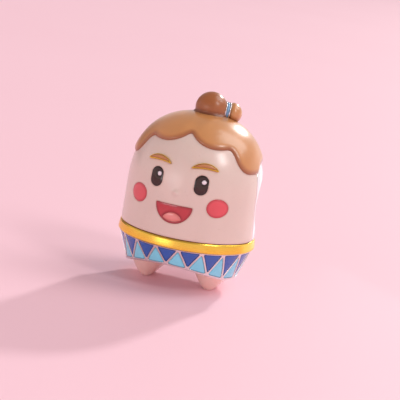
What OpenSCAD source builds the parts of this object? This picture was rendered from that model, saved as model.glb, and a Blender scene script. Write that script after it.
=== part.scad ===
// Bead charm: a plump little figure cast in silver, enamelled, and bored crosswise for a bracelet.
// Millimetres. The origin is on the body's axis at the level of the soles, +Z is up,
// the face looks toward -Y and the bracelet passes along X.

/* [Body] */
// Radius of the body at its straight wall
body_r = 5.3; // [5.1:0.1:5.6]
// Height of the dome's crown above the soles
crown_z = 13.4; // [13:0.1:13.8]
// Height at which the straight wall turns into the dome
shoulder_z = 7.3; // [7:0.1:7.6]
// Squareness of the dome's shoulder, where 2 is an ellipse
dome_power = 2.4; // [2.3:0.1:2.8]

/* [Bracelet hole] */
// Diameter of the hole
bore_d = 4.5; // [4.2:0.1:4.6]
// Height of the hole's axis above the soles
bore_z = 7.3; // [7:0.1:7.5]
// Distance of the hole's axis behind the body's axis
bore_y = 1.8; // [1.6:0.1:1.8]

/* [Enamel] */
// Thickness of the enamel panels in the body
enamel_t = 0.4; // [0.3:0.05:0.5]
// Depth of the small inlays in the face
inlay_t = 0.2; // [0.15:0.05:0.25]
// Height by which the hair stands proud of the skin
hair_proud = 0.18; // [0.1:0.02:0.24]
// Gap round each piece of enamel
gap = 0.03; // [0.02:0.01:0.04]

/* [Bare silver sides] */
// Front edge of the bare field round the hole
field_front_y = -1; // [-1.2:0.1:-0.9]
// Front edge of the field at the belt, to which it leans back from the height of the hole's axis
field_low_y = -0.3; // [-0.6:0.1:-0.2]
// Back edge of the bare field
field_back_y = 4.35; // [4.2:0.05:4.4]
// Height of the field's top
field_top_z = 10.5; // [10.3:0.1:10.6]
// Radius of the field's two top corners
field_corner = 1.3; // [1:0.1:1.6]

/* [Hair] */
// Sideways place of the middle of each front lobe
lobe_x = 2.15; // [2:0.05:2.3]
// Height of the centre of the arc that each front lobe follows
lobe_z = 14.3; // [14.2:0.1:14.5]
// Radius of that arc
lobe_r = 2.9; // [2.8:0.05:3]
// Distance of the front of each temple lock ahead of the body's axis
lock_front = 2.95; // [2.8:0.05:3.05]
// Radius of the round end of each temple lock
lock_r = 0.9; // [0.8:0.05:0.95]
// Height of the centre of that round end
lock_z = 10.7; // [10.6:0.1:10.9]
// Height of the centre of the arc that ends the hair at the back
nape_z = 12.2; // [12.1:0.1:12.4]
// Radius of that arc
nape_r = 3.75; // [3.7:0.05:3.8]

/* [Topknot] */
// Radius of the knot
knot_r = 1.25; // [1.1:0.05:1.3]
// Place of the knot's centre
knot_at = [0.15, 0.4, 13.95];
// Turn of the topknot's tail from +X toward +Y
knot_turn = 25; // [15:1:40]
// Droop of the tail
knot_droop = 7; // [4:1:10]
// Radius of the tie
tie_r = 0.78; // [0.7:0.02:0.84]
// Width of the tie
tie_w = 0.42; // [0.36:0.02:0.5]
// Radius of the tail
tail_r = 0.84; // [0.74:0.02:0.9]
// Length of the tail beyond the tie
tail_l = 1.05; // [0.9:0.05:1.2]

/* [Face] */
// Height of the eyes
eye_z = 8.75; // [8.6:0.05:8.9]
// Sideways place of each eye
eye_x = 1.75; // [1.6:0.05:1.9]
// Radius of the round ends of an eye
eye_r = 0.5; // [0.4:0.02:0.56]
// Height between the centres of an eye's round ends
eye_rise = 0.5; // [0.3:0.05:0.6]
// Radius of the glint in each eye
glint_r = 0.17; // [0.14:0.01:0.2]
// Height of the arc's centre that the top of each brow follows
brow_z = 9.1; // [9:0.05:9.2]
// Radius of that arc
brow_r = 1.25; // [1.2:0.05:1.35]
// Thickness of a brow at its middle
brow_w = 0.38; // [0.32:0.02:0.4]
// Half of a brow's length from tip to tip
brow_half = 1; // [0.9:0.05:1.05]
// Height by which the brows stand proud of the skin
brow_proud = 0.2; // [0.12:0.02:0.24]
// Height of the cheeks
cheek_z = 7.15; // [7:0.05:7.3]
// Sideways place of each cheek
cheek_x = 3.1; // [3:0.05:3.2]
// Radius of a cheek
cheek_r = 0.72; // [0.6:0.02:0.78]
// Height of the line that the smile hangs from
smile_z = 6.95; // [6.85:0.05:7.05]
// Radius of the smile
smile_r = 1.45; // [1.3:0.05:1.5]
// Radius of the tongue
tongue_r = 0.85; // [0.75:0.05:0.9]
// Radius of the small round nose
nose_r = 0.42; // [0.36:0.02:0.46]
// Height of the nose
nose_z = 7.85; // [7.8:0.05:7.9]

/* [Belt and skirt] */
// Height of the belt's top edge
belt_top = 4.4; // [4.3:0.05:4.5]
// Height of the belt's lower edge
belt_low = 3.6; // [3.5:0.05:3.7]
// Distance by which the belt bulges beyond the body
belt_proud = 0.12; // [0.08:0.02:0.16]
// Radius of the skirt under the belt
skirt_r = 5.3; // [5.15:0.05:5.35]
// Radius of the skirt at the sides of its hem
hem_r = 4.45; // [4.3:0.05:4.5]
// Height of the hem at the sides
hem_z = 1.25; // [1.2:0.05:1.4]
// Height by which the hem arches up between the feet, at the front and the back
hem_arch = 0.9; // [0.7:0.05:1]
// Sideways reach of that arch
arch_reach = 4.1; // [3.9:0.05:4.2]
// Height of the bare rim at the hem
hem_rim = 0.18; // [0.16:0.02:0.3]
// Number of dark cells round the skirt, and of pale ones
cell_pairs = 18; // [14:1:18]
// Width of the silver walls between the cells
cell_wall = 0.15; // [0.12:0.01:0.18]
// Depth of the cells
cell_t = 0.2; // [0.15:0.05:0.25]

/* [Feet] */
// Sideways place of each foot
foot_x = 2.6; // [2.5:0.05:2.65]
// Width of a foot at the top of the arch
foot_w = 3.1; // [2.8:0.1:3.2]
// Fullness of a foot's sides, where 2 is an ellipse
foot_power = 1.35; // [1.3:0.05:1.6]
// Width of the flat of a sole
sole_w = 0.5; // [0.4:0.1:0.8]
// Extra length of a foot from front to back
foot_l = 1.4; // [1.2:0.1:1.5]

/* [Hidden] */
$fn = 96;
far = 9;
dome_steps = 20;
foot_steps = 8;
bore_r = bore_d / 2;
belt_r = body_r + belt_proud;
groove_r = body_r - enamel_t;
tie_at = sqrt(pow(knot_r, 2) - pow(tie_r, 2));
arch_r = (pow(arch_reach, 2) + pow(hem_arch, 2)) / (2 * hem_arch);
arch_z = hem_z + hem_arch - arch_r;
cell_turn = 360 / cell_pairs;
skirt_lean = (skirt_r - hem_r) / (belt_low - hem_z);
field_lean = (field_low_y - field_front_y) / (bore_z - belt_top);
SIDES = ["left", "right"];
CELLS = [for (i = [0 : cell_pairs - 1]) each [str("cell_dark_", i), str("cell_pale_", i)]];
PAIRED = [for (piece = ["brow", "eye", "glint", "cheek", "foot"], side = SIDES) str(piece, "_", side)];

// Half outline of the dome, moved outward by d, from the shoulder to the crown
function dome_outline(d) = [
    for (i = [0 : dome_steps])
        let (a = 90 * i / dome_steps, e = 2 / dome_power)
            [(body_r + d) * pow(cos(a), e), shoulder_z + (crown_z - shoulder_z + d) * pow(sin(a), e)]
];

// Half outline of a foot, from the top of the arch down to the flat of the sole
function foot_outline() = [
    for (i = [0 : foot_steps])
        let (a = 90 * i / foot_steps, e = 2 / foot_power, s = sole_w / 2)
            [s + (foot_w / 2 - s) * pow(cos(a), e), (hem_z + hem_arch) * (1 - pow(sin(a), e))]
];

// Radius of the skirt at height z
function skirt_at(z) = hem_r + skirt_lean * (z - hem_z);

// Height of the hem at a sideways place x
function hem_at(x) = max(hem_z, arch_z + sqrt(pow(arch_r, 2) - pow(x, 2)));

// Height of the hem's outer edge at an angle from the front, which each pass brings nearer
function hem_edge(angle, z = hem_z, passes = 4) =
    passes == 0 ? z : hem_edge(angle, hem_at(skirt_at(z) * sin(angle)), passes - 1);

// Height of the middle of the wall below the cells, at an angle from the front
function cell_low(angle) = hem_edge(angle) + hem_rim - cell_wall / 2;

// Angle from the front of the middle of a cell, where a pale cell lies between two dark ones
function cell_angle(i, dark) = cell_turn * (i + (dark ? 0 : 0.5));

// Corners of a cell between the middles of its walls, seen from its own front: dark ones point
// down and pale ones point up
function cell_corners(i, dark) = concat(
    [for (side = [-1, 1])
        let (z = dark ? belt_low : cell_low(cell_angle(i, dark) + side * cell_turn / 2))
            [side * skirt_at(z) * tan(cell_turn / 2), z]],
    [[0, dark ? cell_low(cell_angle(i, dark)) : belt_low]]
);

// A triangle with its sides moved inward by d
function shrunk(corners, d) =
    let (sides = [for (k = [0 : 2]) norm(corners[(k + 1) % 3] - corners[(k + 2) % 3])],
         whole = sides * [1, 1, 1],
         middle = sides * corners / whole,
         inner_r = abs(cross(corners[1] - corners[0], corners[2] - corners[0])) / whole)
        [for (corner = corners) middle + (corner - middle) * (1 - d / inner_r)];

// Sign of a side, where right is the viewer's right
function sign_of(side) = side == "right" ? 1 : -1;

// The body above its belt as one solid, moved outward by d
module dome(d) {
    rotate_extrude()
        polygon(concat([[0, belt_top], [body_r + d, belt_top]], dome_outline(d)));
}

// A wall that follows the dome between two offsets, from height z up
module dome_wall(outer, inner, z) {
    difference() {
        dome(outer);
        dome(inner);
        translate([0, 0, z - far])
            cylinder(r = far, h = far);
    }
}

// A prism from an outline in x and z, which runs from y0 to y1
module through_front(y0 = -far, y1 = 0) {
    translate([0, y1, 0])
        rotate([90, 0, 0])
            linear_extrude(y1 - y0)
                children();
}

// A prism from an outline in y and z, which runs from x0 to x1
module through_side(x0, x1) {
    translate([x0, 0, 0])
        rotate([90, 0, 90])
            linear_extrude(x1 - x0)
                children();
}

// The bare fields at both sides, grown by g
module side_fields(g = 0) {
    corner_z = field_top_z - field_corner;
    lean_g = g * sqrt(1 + pow(field_lean, 2));
    bend_z = bore_z - (lean_g - g) / field_lean;
    through_side(-far, far) {
        polygon([
            [field_back_y + g, 0], [field_back_y + g, corner_z], [field_front_y - g, corner_z],
            [field_front_y - g, bend_z], [field_front_y + field_lean * bore_z - lean_g, 0]
        ]);
        translate([field_front_y + field_corner, 0])
            square([field_back_y - field_front_y - 2 * field_corner, field_top_z + g]);
        for (y = [field_front_y + field_corner, field_back_y - field_corner])
            translate([y, corner_z])
                circle(r = field_corner + g);
    }
}

// The round space under the arch of the hem, drawn in by g
module under_arch(g = 0) {
    translate([0, -far, arch_z])
        rotate([-90, 0, 0])
            cylinder(r = arch_r - g, h = 2 * far);
}

// The space of the hair, grown by g: two front lobes, two temple locks and the back
module hair_space(g = 0) {
    through_front()
        for (side = SIDES)
            translate([sign_of(side) * lobe_x, lobe_z])
                circle(r = lobe_r + g);
    for (x0 = [-far, 1])
        through_side(x0, x0 + far - 1) {
            translate([-lock_front - g, lock_z])
                square([lock_front + g, far]);
            translate([lock_r - lock_front, lock_z - lock_r - g])
                square([lock_front - lock_r, far]);
            translate([lock_r - lock_front, lock_z])
                circle(r = lock_r + g);
        }
    through_front(0, far) {
        translate([0, nape_z])
            circle(r = nape_r + g);
        translate([-far, field_top_z - gap - g])
            square([2 * far, far]);
    }
}

// A small stretch of the face under an outline, between two offsets
module face_patch(outer, inner) {
    intersection() {
        dome_wall(outer, inner, belt_top);
        through_front()
            children();
    }
}

// Outlines of the features, each grown by g

module brow_shape(side, g = 0) {
    low = brow_r - brow_w;
    sag = low - sqrt(pow(brow_r, 2) - pow(brow_half, 2));
    low_r = (pow(brow_half, 2) + pow(sag, 2)) / (2 * sag);
    translate([sign_of(side) * eye_x, brow_z])
        difference() {
            circle(r = brow_r + g);
            translate([0, low - low_r])
                circle(r = low_r - g, $fn = 4 * $fn);
        }
}

module eye_shape(side, g = 0) {
    translate([sign_of(side) * eye_x, eye_z]) {
        for (z = [-eye_rise / 2, eye_rise / 2])
            translate([0, z])
                circle(r = eye_r + g);
        square([2 * (eye_r + g), eye_rise], center = true);
    }
}

module glint_shape(side, g = 0) {
    translate([sign_of(side) * eye_x + glint_r, eye_z + eye_rise / 2])
        circle(r = glint_r + g);
}

module cheek_shape(side, g = 0) {
    translate([sign_of(side) * cheek_x, cheek_z])
        circle(r = cheek_r + g);
}

module mouth_shape(g = 0) {
    intersection() {
        translate([0, smile_z])
            circle(r = smile_r + g);
        translate([-far, smile_z - far - g])
            square([2 * far, far + 2 * g]);
    }
}

module tongue_shape(g = 0) {
    intersection() {
        mouth_shape(g - cell_wall);
        translate([0, smile_z - smile_r])
            circle(r = tongue_r + g);
    }
}

// The silver casting: body, bare sides, skirt with its cell walls, hem and hole
module silver_core() {
    seat = -enamel_t - gap;
    color("silver")
        difference() {
            union() {
                rotate_extrude()
                    polygon(concat(
                        [[0, hem_z], [hem_r, hem_z], [skirt_r, belt_low], [groove_r, belt_low],
                         [groove_r, belt_top], [body_r + seat, belt_top]],
                        dome_outline(seat)
                    ));
                intersection() {
                    dome(0);
                    side_fields();
                }
            }
            translate([-far, bore_y, bore_z])
                rotate([0, 90, 0])
                    cylinder(r = bore_r, h = 2 * far);
            under_arch();
            for (i = [0 : cell_pairs - 1], dark = [true, false])
                skirt_cell(i, dark, gap);
        }
}

// The skin of the face, with a seat for each feature and a small round nose
module face_enamel() {
    color("#ECCAC0")
        difference() {
            union() {
                dome_wall(0, -enamel_t, belt_top + gap);
                translate([0, nose_r - belt_r, nose_z])
                    sphere(r = nose_r);
            }
            through_front(0, far)
                square([4 * far, 4 * far], center = true);
            side_fields(gap);
            hair_space(gap);
            dome(-enamel_t);
            face_patch(1, -inlay_t - gap) {
                for (side = SIDES) {
                    brow_shape(side, gap);
                    eye_shape(side, gap);
                    cheek_shape(side, gap);
                }
                mouth_shape(gap);
            }
        }
}

// The skin below the hair at the back
module back_enamel() {
    color("#ECCAC0")
        difference() {
            dome_wall(0, -enamel_t, belt_top + gap);
            through_front(-far, 0)
                square([4 * far, 4 * far], center = true);
            side_fields(gap);
            hair_space(gap);
        }
}

// The hair over the crown, from the front lobes and temple locks to the nape
module hair_cap() {
    color("#B5763F")
        difference() {
            intersection() {
                dome_wall(hair_proud, -enamel_t, belt_top);
                hair_space();
            }
            side_fields(gap);
        }
}

// Places its children along the topknot's own axis, which is +Z for them, seated on the hair cap
module along_knot() {
    difference() {
        translate(knot_at)
            rotate([0, 90 + knot_droop, knot_turn])
                children();
        dome(hair_proud + gap);
    }
}

module knot() {
    color("#B5763F")
        difference() {
            translate(knot_at)
                sphere(r = knot_r);
            translate([0, 0, crown_z + hair_proud + gap - far])
                cylinder(r = far, h = far);
        }
}

module knot_tie() {
    color("#86BEDD")
        along_knot()
            difference() {
                translate([0, 0, tie_at])
                    cylinder(r = tie_r, h = tie_w);
                sphere(r = knot_r + gap);
            }
}

module knot_tail() {
    color("#B5763F")
        along_knot()
            translate([0, 0, tie_at + tie_w + gap])
                rotate_extrude()
                    intersection() {
                        translate([0, tail_l - tail_r])
                            circle(r = tail_r);
                        square([tail_r, tail_l]);
                    }
}

module brow(side) {
    color("#8A5231")
        face_patch(brow_proud, -inlay_t)
            brow_shape(side);
}

module eye(side) {
    color("#3A2018")
        difference() {
            face_patch(0, -inlay_t)
                eye_shape(side);
            face_patch(1, gap - inlay_t / 2)
                glint_shape(side, gap);
        }
}

module glint(side) {
    color("white")
        face_patch(0, 2 * gap - inlay_t / 2)
            glint_shape(side);
}

module cheek(side) {
    color("#D74650")
        face_patch(0, -inlay_t)
            cheek_shape(side);
}

module mouth() {
    color("#B02A35")
        difference() {
            face_patch(0, -inlay_t)
                mouth_shape();
            face_patch(1, gap - inlay_t / 2)
                tongue_shape(gap);
        }
}

module tongue() {
    color("#E48C82")
        face_patch(0, 2 * gap - inlay_t / 2)
            tongue_shape();
}

// The belt: a gold-plated band with a round back, seated in the groove above the skirt
module gold_belt() {
    color("#E6AE3A")
        rotate_extrude()
            polygon([
                [groove_r + gap, belt_low + gap], [body_r, belt_low + gap],
                [belt_r, (2 * belt_low + belt_top) / 3], [belt_r, (belt_low + 2 * belt_top) / 3],
                [body_r, belt_top - gap], [groove_r + gap, belt_top - gap]
            ]);
}

// One cell of the skirt's zigzag, grown by g
module skirt_cell(i, dark, g = 0) {
    intersection() {
        rotate_extrude()
            polygon([for (end = [[hem_z, -cell_t - g], [hem_z, g], [belt_low, g], [belt_low, -cell_t - g]])
                [skirt_at(end[0]) + end[1], end[0]]]);
        rotate([0, 0, cell_angle(i, dark)])
            through_front()
                polygon(shrunk(cell_corners(i, dark), cell_wall / 2 - g));
    }
}

// A foot: a tapered nub with a flat sole, seated under the arch of the hem
module foot(side) {
    half = foot_outline();
    color("#ECCAC0")
        intersection() {
            translate([sign_of(side) * foot_x, 0, 0]) {
                for (y = [-foot_l / 2, foot_l / 2])
                    translate([0, y, 0])
                        rotate_extrude()
                            polygon(concat([[0, 0], [0, hem_z + hem_arch]], half));
                through_front(-foot_l / 2, foot_l / 2)
                    polygon(concat(half, [for (i = [foot_steps : -1 : 0]) [-half[i][0], half[i][1]]]));
            }
            under_arch(gap);
        }
}

silver_core();
face_enamel();
back_enamel();
hair_cap();
knot();
knot_tie();
knot_tail();
mouth();
tongue();
gold_belt();
for (side = SIDES) {
    brow(side);
    eye(side);
    glint(side);
    cheek(side);
    foot(side);
}
for (i = [0 : cell_pairs - 1]) {
    color("#374B92") skirt_cell(i, true);
    color("#86BEDD") skirt_cell(i, false);
}
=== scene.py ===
"""Bead charm: an enamelled silver figure with a gold-plated belt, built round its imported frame."""

import math

import bmesh
import bpy
import numpy as np
from mathutils import Matrix, Vector, geometry, kdtree


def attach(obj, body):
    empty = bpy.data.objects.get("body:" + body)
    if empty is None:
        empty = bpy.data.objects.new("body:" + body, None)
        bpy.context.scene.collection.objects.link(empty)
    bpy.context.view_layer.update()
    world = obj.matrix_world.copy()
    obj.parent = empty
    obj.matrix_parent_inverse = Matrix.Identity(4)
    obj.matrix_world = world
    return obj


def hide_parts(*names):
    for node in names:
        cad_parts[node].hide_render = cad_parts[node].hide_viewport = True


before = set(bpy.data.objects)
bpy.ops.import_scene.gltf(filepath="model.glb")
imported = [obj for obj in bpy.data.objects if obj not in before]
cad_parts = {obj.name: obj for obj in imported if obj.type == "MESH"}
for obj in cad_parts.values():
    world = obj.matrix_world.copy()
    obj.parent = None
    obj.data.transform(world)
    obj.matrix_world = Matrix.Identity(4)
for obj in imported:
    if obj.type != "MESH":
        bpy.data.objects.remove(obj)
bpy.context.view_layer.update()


# Camera
# A long lens a hand's breadth away, a little to the right of the front and above it, and rolled so that the
# bead leans as it does in the photo.
mm = 0.001
aim_z = 4.4 * mm
camera_away = 110 * mm
camera_turn = math.radians(14.5)
camera_rise = math.radians(12)
camera_roll = math.radians(9.65)
aim_right = 0.94 * mm
aim_up = 2.09 * mm
photo_px = 400
px_per_mm = 12.7
sensor = 36

toward_camera = Vector((
    math.sin(camera_turn) * math.cos(camera_rise),
    -math.cos(camera_turn) * math.cos(camera_rise),
    math.sin(camera_rise),
))
level = Vector((math.cos(camera_turn), math.sin(camera_turn), 0))
upright = toward_camera.cross(level)
image_right = level * math.cos(camera_roll) + upright * math.sin(camera_roll)
image_up = upright * math.cos(camera_roll) - level * math.sin(camera_roll)
look_from = Vector((0, 0, aim_z)) + toward_camera * camera_away
look_at = Vector((0, 0, aim_z)) + image_right * aim_right + image_up * aim_up
camera_back = (look_from - look_at).normalized()
camera_side = image_up.cross(camera_back).normalized()

camera = bpy.data.objects.new("camera", bpy.data.cameras.new("camera"))
camera.data.sensor_width = sensor
camera.data.lens = px_per_mm * camera_away / mm * sensor / photo_px
camera.data.clip_start = 1 * mm
camera.data.clip_end = 5
camera.matrix_world = Matrix.Translation(look_from) @ Matrix(
    (camera_side, camera_back.cross(camera_side), camera_back)
).transposed().to_4x4()
bpy.context.scene.collection.objects.link(camera)
bpy.context.scene.camera = camera
bpy.context.scene.view_settings.view_transform = "Standard"


# Floor and light
# A pale pink card in a bright white room, with low sun from behind and soft boxes above, at the right and in
# front, the last without reflections. A streak, a small reflector and a dark flag show only in reflections,
# and the flag, behind on the left, darkens the belt's far end.
floor_reach = 1.2
floor_pink = "#F5C8D3"
room_white = "#FFECEE"
horizon_strength = 0.87
sky_strength = 0.4
sun_strength = 1.3
sun_from = Vector((0.15, 0.87, 0.47))
sun_width = math.radians(4)
box_aim_z = 8 * mm
flag_from = (-0.82, 0.57, 0.0)
# Cosines of the angle from the flag's middle, to where it starts to fade and to where it ends
flag_full = 0.98
flag_end = 0.86
flag_shade = 0.2


def linear(code):
    """Linear red, green, blue and alpha of an sRGB hex colour."""
    parts = [int(code[i:i + 2], 16) / 255 for i in (1, 3, 5)]
    return (*(c / 12.92 if c <= 0.04045 else ((c + 0.055) / 1.055) ** 2.4 for c in parts), 1.0)


def add_node(tree, kind, sockets=None, **settings):
    """Add a shader node with its settings. Each listed input gets a value, an output, or a node, which
    stands for its first output."""
    node = tree.nodes.new("ShaderNode" + kind)
    for name, value in settings.items():
        setattr(node, name, value)
    for key, value in (sockets or {}).items():
        if isinstance(value, bpy.types.Node):
            value = value.outputs[0]
        if isinstance(value, bpy.types.NodeSocket):
            tree.links.new(value, node.inputs[key])
        else:
            node.inputs[key].default_value = value
    return node


def new_material(name):
    """An empty material, its node tree and the socket that takes its surface."""
    material = bpy.data.materials.new(name)
    material.use_nodes = True
    material.node_tree.nodes.clear()
    output = add_node(material.node_tree, "OutputMaterial")
    return material, material.node_tree, output.inputs["Surface"]


# Uncoated dyed card: a dull, even pink with faint clouds about 110 mm wide
card, tree, surface = new_material("matt_pink_card")
place = add_node(tree, "TexCoord").outputs["Object"]
mottle = add_node(tree, "TexNoise", {"Vector": place, "Scale": 9, "Detail": 2})
shade = add_node(tree, "MixRGB", {"Fac": mottle, "Color1": linear(floor_pink), "Color2": linear("#F8CDD8")})
shader = add_node(tree, "BsdfPrincipled", {"Base Color": shade, "Roughness": 0.6})
tree.links.new(shader.outputs["BSDF"], surface)

floor_mesh = bpy.data.meshes.new("floor")
corners = [(-1, -1), (1, -1), (1, 1), (-1, 1)]
floor_mesh.from_pydata([(x * floor_reach, y * floor_reach, 0) for x, y in corners], [], [(0, 1, 2, 3)])
floor_mesh.materials.append(card)
floor = bpy.data.objects.new("floor", floor_mesh)
bpy.context.scene.collection.objects.link(floor)

world = bpy.data.worlds.new("room")
world.use_nodes = True
tree = world.node_tree
direction = add_node(tree, "TexCoord").outputs["Generated"]
upward = add_node(tree, "SeparateXYZ", {"Vector": direction}).outputs["Z"]
low_sky = add_node(tree, "MapRange", {"Value": upward, "From Min": 0.1, "From Max": 0.6,
                                      "To Min": horizon_strength, "To Max": sky_strength},
                   interpolation_type="SMOOTHSTEP")
toward_flag = add_node(tree, "VectorMath", {0: direction, 1: flag_from}, operation="DOT_PRODUCT")
mirrored = add_node(tree, "LightPath").outputs["Is Glossy Ray"]
flag_part = add_node(tree, "Math", {0: toward_flag.outputs["Value"], 1: mirrored}, operation="MULTIPLY")
flag = add_node(tree, "MapRange", {"Value": flag_part, "From Min": flag_end,
                                   "From Max": flag_full, "To Min": 1.0, "To Max": flag_shade},
                interpolation_type="SMOOTHSTEP")
glow = add_node(tree, "Math", {0: low_sky, 1: flag}, operation="MULTIPLY")
background = tree.nodes["Background"]
background.inputs["Color"].default_value = linear(room_white)
tree.links.new(glow.outputs["Value"], background.inputs["Strength"])
bpy.context.scene.world = world


def add_lamp(light, toward):
    """A lamp that shines on the bead from a direction."""
    lamp = bpy.data.objects.new(light.name, light)
    lamp.rotation_mode = "QUATERNION"
    lamp.rotation_quaternion = toward.to_track_quat("Z", "Y")
    bpy.context.scene.collection.objects.link(lamp)
    return lamp


sun = bpy.data.lights.new("sun", "SUN")
sun.energy = sun_strength
sun.angle = sun_width
add_lamp(sun, sun_from)

# Each box's name, its direction from the bead, its distance and size in millimetres, and its watts
soft_boxes = (
    ("key", (0.53, 0.31, 0.78), 1500, (800, 1000), 8.5),
    ("right", (0.7, -0.34, 0.63), 1500, (300, 480), 4.6),
    ("front", (-0.5, -0.86, 0.12), 1500, (1100, 400), 3.6),
    ("streak", (-0.38, -0.92, 0.06), 1500, (700, 300), 1.3),
    ("reflector", (0.72, 0.69, 0.03), 19.4, (16, 16), 0.0003),
)
for name, box_from, away, size, watts in soft_boxes:
    light = bpy.data.lights.new(name, "AREA")
    light.shape = "RECTANGLE"
    light.size, light.size_y = (side * mm for side in size)
    light.energy = watts
    toward = Vector(box_from).normalized()
    lamp = add_lamp(light, toward)
    lamp.location = Vector((0, 0, box_aim_z)) + toward * away * mm
    lamp.visible_camera = False
    lamp.visible_diffuse = name not in ("streak", "reflector")
    lamp.visible_glossy = name != "front"


# Silver casting
# One lost-wax casting in sterling silver, polished where it shows: the body under the enamel, the bare sides
# round the hole, the walls between the skirt's cells, and the hem.
body_r = 5.3 * mm
crown_z = 13.4 * mm
shoulder_z = 7.3 * mm
dome_power = 2.4
enamel_t = 0.4 * mm
seat_gap = 0.03 * mm
bore_r = 2.25 * mm
bore_z = 7.3 * mm
bore_y = 1.8 * mm
field_front_y = -1 * mm
field_low_y = -0.3 * mm
field_back_y = 4.35 * mm
field_top_z = 10.5 * mm
field_corner = 1.3 * mm
field_low_z = 4.42 * mm
belt_top = 4.4 * mm
belt_low = 3.6 * mm
groove_r = body_r - enamel_t
skirt_r = 5.3 * mm
hem_r = 4.45 * mm
hem_z = 1.25 * mm
hem_arch = 0.9 * mm
arch_reach = 4.1 * mm
arch_r = (arch_reach ** 2 + hem_arch ** 2) / (2 * hem_arch)
hem_rim = 0.18 * mm
hem_edge_r = 0.07 * mm
cell_pairs = 18
cell_wall = 0.15 * mm
cell_t = 0.2 * mm
cell_edge = 0.03 * mm
lip_r = 0.2 * mm
field_edge_r = 0.06 * mm
core_drop = enamel_t + seat_gap
side_spacing = 0.09 * mm
hidden_spacing = 0.5 * mm
bore_steps = 144
lip_steps = 6
wall_steps = 11
round_steps = 432

# The dome's outline from the crown down: shares of the radius and of the height, and the way walked
fall = np.linspace(0, math.pi / 2, 2001)
dome_out = np.sin(fall) ** (2 / dome_power)
dome_up = np.cos(fall) ** (2 / dome_power)
dome_way = np.concatenate([[0], np.cumsum(np.hypot(
    np.diff(body_r * dome_out), np.diff((crown_z - shoulder_z) * dome_up)))])


def on_body(places, lift=0.0):
    """Points on the body, moved outward by lift. A place is a spot on a map of the body seen from above, as
    far from the map's middle as its way from the crown."""
    way = np.hypot(places[:, 0], places[:, 1])
    out = (body_r + lift) * np.interp(way, dome_way, dome_out) / np.maximum(way, 1e-9)
    up = shoulder_z + (crown_z - shoulder_z + lift) * np.interp(way, dome_way, dome_up)
    return np.column_stack([places[:, 0] * out, places[:, 1] * out, up - np.maximum(way - dome_way[-1], 0)])


def height_share(z):
    return np.clip((z - shoulder_z) / (crown_z - shoulder_z), 0, 1)


def body_radius(z):
    return body_r * np.interp(-height_share(z), -dome_up, dome_out)


def to_map(x, y, z):
    """Places on the map of points on the body."""
    way = np.interp(-height_share(z), -dome_up, dome_way) + np.maximum(shoulder_z - z, 0)
    return np.column_stack([x, y]) * (way / np.hypot(x, y))[:, None]


def from_right(line):
    """Places of a line drawn in y and z and pressed on the body from its right."""
    y, z = line.T
    return to_map(np.sqrt(np.maximum(body_radius(z) ** 2 - y ** 2, 0)), y, z)


def arc(x, z, r, start, end, count=60):
    """Points along an arc, with its angles in degrees from the right."""
    turn = np.radians(np.linspace(start, end, count))
    return np.column_stack([x + r * np.cos(turn), z + r * np.sin(turn)])


def way_along(line):
    """How far along a line each of its points lies."""
    return np.concatenate([[0], np.cumsum(np.linalg.norm(np.diff(line, axis=0), axis=1))])


def dense(line, step=0.05 * mm):
    """The same line with points every step."""
    way = way_along(line)
    at = np.linspace(0, way[-1], max(2, int(way[-1] / step)))
    return np.column_stack([np.interp(at, way, line[:, k]) for k in (0, 1)])


def softened(loop, times):
    """A closed line whose corners are rounded, each point drawn toward its neighbours several times."""
    for _ in range(times):
        loop = loop / 2 + (np.roll(loop, 1, 0) + np.roll(loop, -1, 0)) / 4
    return loop


def turns_left(loop):
    u, v = loop.T
    return np.sum(u * np.roll(v, -1) - v * np.roll(u, -1)) > 0


def even(loop, spacing, softness=0):
    """A closed line that turns left, with even steps on the body and soft corners."""
    ring = np.vstack([loop, loop[:1]])
    way = way_along(on_body(ring))
    at = np.linspace(0, way[-1], max(16, round(way[-1] / spacing)), endpoint=False)
    loop = softened(np.column_stack([np.interp(at, way, ring[:, k]) for k in (0, 1)]), softness)
    return loop if turns_left(loop) else loop[::-1]


def inset(loop, by):
    """A closed line moved to its left on the body."""
    way = np.hypot(loop[:, 0], loop[:, 1])
    outward = loop / way[:, None]
    around = np.column_stack([-outward[:, 1], outward[:, 0]])
    squeeze = body_r * np.interp(way, dome_way, dome_out) / way
    step = np.roll(loop, -1, 0) - np.roll(loop, 1, 0)
    out_part = np.sum(step * outward, axis=1)
    round_part = np.sum(step * around, axis=1) * squeeze
    length = np.maximum(np.hypot(out_part, round_part), 1e-12)
    return untangled(loop + by * (around * (out_part / length / squeeze)[:, None]
                                  - outward * (round_part / length)[:, None]))


def crossings(line, step, other, other_step):
    """Where each step of one line would cross each step of another, in shares of the two steps."""
    apart = other[None] - line[:, None]
    a, b = step[:, None], other_step[None]
    area = a[..., 0] * b[..., 1] - a[..., 1] * b[..., 0]
    area = np.where(np.abs(area) < 1e-18, 1e-18, area)
    return ((apart[..., 0] * b[..., 1] - apart[..., 1] * b[..., 0]) / area,
            (apart[..., 0] * a[..., 1] - apart[..., 1] * a[..., 0]) / area)


def untangled(loop):
    """The same closed line, with each small knot that crosses itself drawn together at its crossing."""
    count = len(loop)
    step = np.roll(loop, -1, 0) - loop
    share, other_share = crossings(loop, step, loop, step)
    open_range = (share > 1e-6) & (share < 1 - 1e-6) & (other_share > 1e-6) & (other_share < 1 - 1e-6)
    knots = []
    for i, j in np.argwhere(open_range):
        if (j - i) % count <= count / 2:
            knots.append(((j - i) % count, i, loop[i] + share[i, j] * step[i]))
    loop = loop.copy()
    for span, i, crossing in sorted(knots, key=lambda knot: knot[0]):
        loop[(i + 1 + np.arange(span)) % count] = crossing
    return loop


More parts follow.
